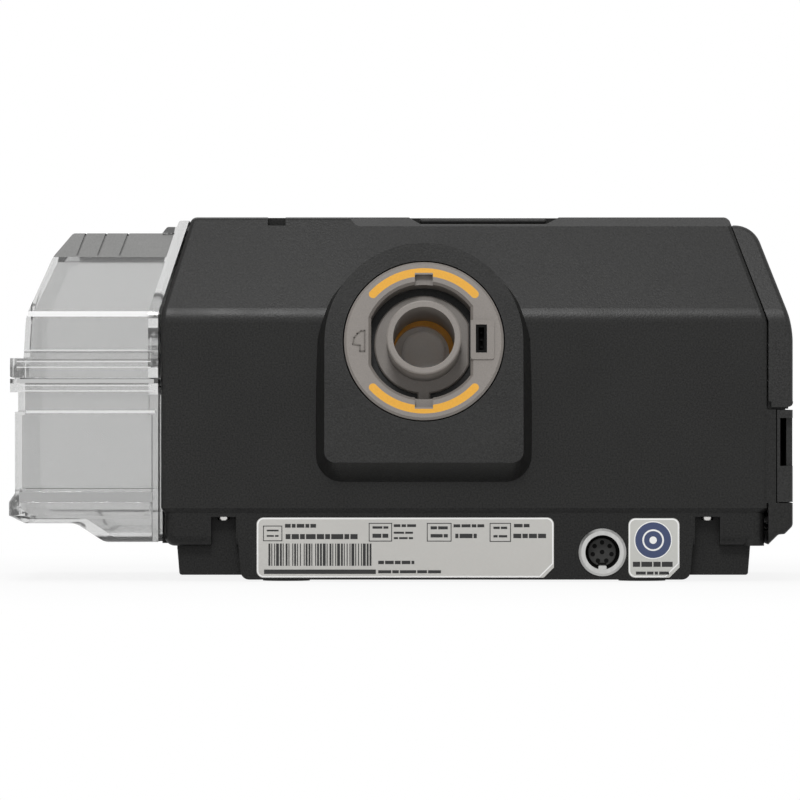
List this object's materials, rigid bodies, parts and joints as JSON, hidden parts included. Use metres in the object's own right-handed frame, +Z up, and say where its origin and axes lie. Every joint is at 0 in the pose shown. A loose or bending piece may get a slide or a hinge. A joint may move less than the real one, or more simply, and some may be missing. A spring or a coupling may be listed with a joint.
{
  "type": "cpap machine",
  "caption": "Bedside positive-airway-pressure machine: black case with a round tilted air outlet, rear power inlet, dial and screen in front, clear humidifier tub docked at one side.",
  "frame": {"origin": "middle of the box that the machine fills, at the height of the surface it stands on", "axes": "+Z up, +Y towards the rear with the outlet and inlet, +X towards the docked humidifier tub"},
  "size_m": [0.2324, 0.1504, 0.1082],
  "materials": {
    "black_shell": "fine matte texture",
    "black_base": "fine matte texture",
    "black_gloss": "polished",
    "taupe_plastic": "satin",
    "orange_inlay": "satin",
    "orange_rubber": "soft",
    "black_rubber": "soft",
    "clear_plastic": "clear moulded plastic",
    "clear_seal": "translucent silicone",
    "grey_plastic": "satin",
    "steel": "zinc plated",
    "inlet_metal": "nickel plated",
    "contact_metal": "plated contact",
    "aluminium_plate": "brushed",
    "label_silver": "printed film, bare",
    "label_white": "printed film, bare",
    "screen_glass": "tinted window",
    "display_black": "dark display",
    "duct_plastic": "moulded",
    "board_green": "circuit board",
    "foam": "open foam",
    "filter_white": "filter paper",
    "card_blue": "satin"
  },
  "bodies": {
    "casing": {"rear_casing": "black_shell", "front_casing": "black_shell", "bottom_casing": "black_base", "rubber_feet": "black_rubber", "case_screws": "steel", "control_deck": "black_shell", "outlet_collar": "taupe_plastic", "outlet_marks": "orange_inlay", "tube_socket": "taupe_plastic", "outlet_seal": "orange_rubber", "inlet_ring": "inlet_metal", "inlet_core": "black_base", "inlet_contacts": "contact_metal", "rating_label": "label_silver", "sign_label": "label_white", "side_frame": "black_shell", "air_filter": "filter_white", "front_fascia": "black_gloss", "screen_lens": "screen_glass", "display_module": "display_black", "encoder_body": "duct_plastic", "main_board": "board_green", "bay_liner": "black_base", "heater_plate": "aluminium_plate", "bay_port_seals": "black_rubber", "blower_housing": "duct_plastic", "blower_cover": "duct_plastic", "blower_motor": "steel", "inlet_muffler": "foam", "supply_duct": "duct_plastic", "return_duct": "duct_plastic"},
    "tub": {"tub_shell": "clear_plastic", "tub_chamber": "clear_plastic", "tub_heat_plate": "aluminium_plate", "tub_seal": "clear_seal", "lid_hinge_pins": "steel"},
    "lid": {"tub_lid": "clear_plastic", "tub_lid_cap": "grey_plastic", "lid_grip": "grey_plastic"},
    "outlet": {"outlet_connector": "taupe_plastic"},
    "filter_door": {"filter_cover": "black_shell"},
    "adapter_door": {"adapter_cover": "black_shell"},
    "card_door": {"memory_card_door": "black_shell"},
    "card": {"memory_card": "card_blue"},
    "start_key": {"start_button": "black_shell"},
    "home_key": {"home_button": "grey_plastic"},
    "dial_press_body": {"encoder_sleeve": "duct_plastic"},
    "dial": {"dial_knob": "grey_plastic"},
    "impeller": {"blower_impeller": "duct_plastic"}
  },
  "joints": [
    {"name": "tub_slide", "type": "slide", "parent": "casing", "child": "tub", "axis": [1, 0, 0], "range_m": [0, 0.085]},
    {"name": "lid_hinge", "type": "hinge", "parent": "tub", "child": "lid", "pos_m": [0.1139, 0, 0.0632], "axis": [0, 1, 0], "range_deg": [0, 100]},
    {"name": "outlet_pull", "type": "slide", "parent": "casing", "child": "outlet", "axis": [0, 0.9903, 0.1392], "range_m": [0, 0.026]},
    {"name": "filter_cover_hinge", "type": "hinge", "parent": "casing", "child": "filter_door", "pos_m": [-0.1149, 0.02, 0.0531], "axis": [0, -1, 0], "range_deg": [0, 80]},
    {"name": "adapter_cover_pull", "type": "slide", "parent": "casing", "child": "adapter_door", "axis": [-1, 0, 0], "range_m": [0, 0.012]},
    {"name": "card_door_hinge", "type": "hinge", "parent": "casing", "child": "card_door", "pos_m": [-0.1151, -0.031, 0.0281], "axis": [0, -1, 0], "range_deg": [0, 85]},
    {"name": "memory_card_push", "type": "slide", "parent": "casing", "child": "card", "axis": [1, 0, 0], "range_m": [0, 0.0008], "stiffness_N_per_m": 1500, "springref_m": -0.0004},
    {"name": "start_button_press", "type": "slide", "parent": "casing", "child": "start_key", "axis": [0, 0, -1], "range_m": [0, 0.0008], "stiffness_N_per_m": 1500, "springref_m": -0.0004},
    {"name": "home_button_press", "type": "slide", "parent": "casing", "child": "home_key", "axis": [0, 0.9134, -0.407], "range_m": [0, 0.0008], "stiffness_N_per_m": 1500, "springref_m": -0.0004},
    {"name": "dial_press", "type": "slide", "parent": "casing", "child": "dial_press_body", "axis": [0, 0.9134, -0.407], "range_m": [0, 0.0008], "stiffness_N_per_m": 1500, "springref_m": -0.0004},
    {"name": "dial_turn", "type": "hinge", "parent": "dial_press_body", "child": "dial", "pos_m": [0.014, -0.05953, 0.05651], "axis": [0, -0.9134, 0.407], "continuous": true},
    {"name": "impeller_spin", "type": "hinge", "parent": "casing", "child": "impeller", "pos_m": [-0.054, 0.004, 0.05], "axis": [0, 0, 1], "continuous": true}
  ]
}
